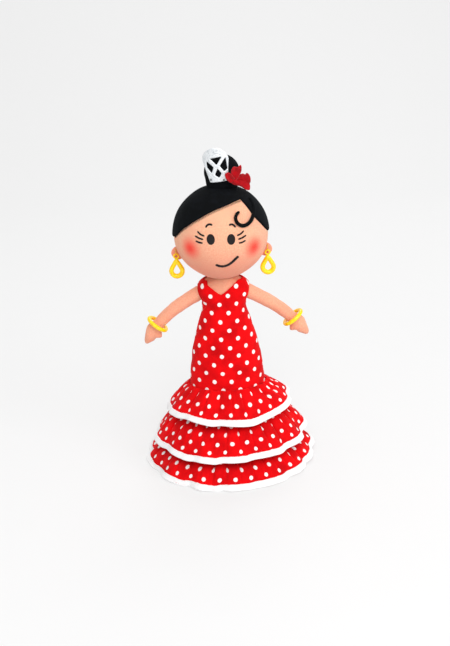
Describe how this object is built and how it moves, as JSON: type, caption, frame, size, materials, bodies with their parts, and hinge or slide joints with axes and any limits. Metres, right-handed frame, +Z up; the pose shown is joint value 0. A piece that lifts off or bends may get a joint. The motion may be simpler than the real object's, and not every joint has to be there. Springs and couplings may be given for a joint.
{
  "type": "stuffed dancer doll",
  "caption": "Standing stuffed cloth doll in a ruffled polka-dot dress, with turning head, swinging arms, drop earrings and loose bangles.",
  "frame": {"origin": "centre of the flat base under the skirt, on the surface the doll stands on", "axes": "+Z up through the head, -Y the way the doll faces, +X towards the doll's left hand"},
  "size_m": [0.1358, 0.136, 0.2504],
  "materials": {
    "felt_black": "matt",
    "card": "matt",
    "filling": "matt",
    "knit_skin": "matt",
    "felt_skin": "matt",
    "wood": "satin",
    "cotton_red": "matt",
    "ribbon_white": "satin",
    "hair_velour": "matt",
    "comb_white": "satin",
    "thread_black": "matt",
    "felt_red": "matt",
    "thread_yellow": "matt",
    "thread_skin": "matt",
    "plastic_yellow": "gloss",
    "wire": "drawn"
  },
  "bodies": {
    "torso": {"base_felt": "felt_black", "base_disc": "card", "body_filling": "filling", "body_cover": "knit_skin", "neck_dowel": "wood", "underskirt": "cotton_red", "dress_front": "cotton_red", "dress_back": "cotton_red", "ruffle_top": "cotton_red", "ruffle_middle": "cotton_red", "ruffle_bottom": "cotton_red", "trim_top": "ribbon_white", "trim_middle": "ribbon_white", "trim_bottom": "ribbon_white"},
    "head": {"head_filling": "filling", "head_cover": "knit_skin", "hair_cap": "hair_velour", "bun_filling": "filling", "bun_cover": "hair_velour", "hair_comb": "comb_white", "comb_stitches": "thread_black", "flower_petal_front": "felt_red", "flower_petal_top": "felt_red", "flower_petal_side": "felt_red", "flower_fold": "felt_red", "forehead_curl": "thread_black", "ear_left": "felt_skin", "ear_right": "felt_skin"},
    "shoulder_left": {"shoulder_knot_left": "thread_skin"},
    "arm_left": {"arm_filling_left": "filling", "arm_cover_left": "knit_skin", "arm_wire_left": "wire"},
    "bangle_left": {"bangle_left": "plastic_yellow"},
    "earring_loop_left": {"earring_thread_left": "thread_yellow"},
    "earring_left": {"earring_left": "plastic_yellow"},
    "shoulder_right": {"shoulder_knot_right": "thread_skin"},
    "arm_right": {"arm_filling_right": "filling", "arm_cover_right": "knit_skin", "arm_wire_right": "wire"},
    "bangle_right": {"bangle_right": "plastic_yellow"},
    "earring_loop_right": {"earring_thread_right": "thread_yellow"},
    "earring_right": {"earring_right": "plastic_yellow"}
  },
  "joints": [
    {"name": "head_turn", "type": "hinge", "parent": "torso", "child": "head", "pos_m": [0, 0, 0.1552], "axis": [0, 0, 1], "range_deg": [-40, 40]},
    {"name": "shoulder_swing_left", "type": "hinge", "parent": "torso", "child": "shoulder_left", "pos_m": [0.0185, 0, 0.1386], "axis": [0, 0, -1], "range_deg": [-18, 18]},
    {"name": "shoulder_lift_left", "type": "hinge", "parent": "shoulder_left", "child": "arm_left", "pos_m": [0.0185, 0, 0.1386], "axis": [0, -1, 0], "range_deg": [-22, 38]},
    {"name": "bangle_slide_left", "type": "slide", "parent": "arm_left", "child": "bangle_left", "axis": [-0.7815, 0, 0.6239], "range_m": [0, 0.012]},
    {"name": "earring_swing_left", "type": "hinge", "parent": "head", "child": "earring_loop_left", "pos_m": [0.03501, -0.0019, 0.17196], "axis": [-1, 0, 0], "range_deg": [0, 40]},
    {"name": "earring_sway_left", "type": "hinge", "parent": "earring_loop_left", "child": "earring_left", "pos_m": [0.03501, -0.0019, 0.16936], "axis": [0, -1, 0], "range_deg": [-10, 35]},
    {"name": "shoulder_swing_right", "type": "hinge", "parent": "torso", "child": "shoulder_right", "pos_m": [-0.0185, 0, 0.1386], "axis": [0, 0, 1], "range_deg": [-18, 18]},
    {"name": "shoulder_lift_right", "type": "hinge", "parent": "shoulder_right", "child": "arm_right", "pos_m": [-0.0185, 0, 0.1386], "axis": [0, 1, 0], "range_deg": [-22, 38]},
    {"name": "bangle_slide_right", "type": "slide", "parent": "arm_right", "child": "bangle_right", "axis": [0.7815, 0, 0.6239], "range_m": [0, 0.012]},
    {"name": "earring_swing_right", "type": "hinge", "parent": "head", "child": "earring_loop_right", "pos_m": [-0.03501, -0.0019, 0.17196], "axis": [-1, 0, 0], "range_deg": [0, 40]},
    {"name": "earring_sway_right", "type": "hinge", "parent": "earring_loop_right", "child": "earring_right", "pos_m": [-0.03501, -0.0019, 0.16936], "axis": [0, 1, 0], "range_deg": [-10, 35]}
  ]
}
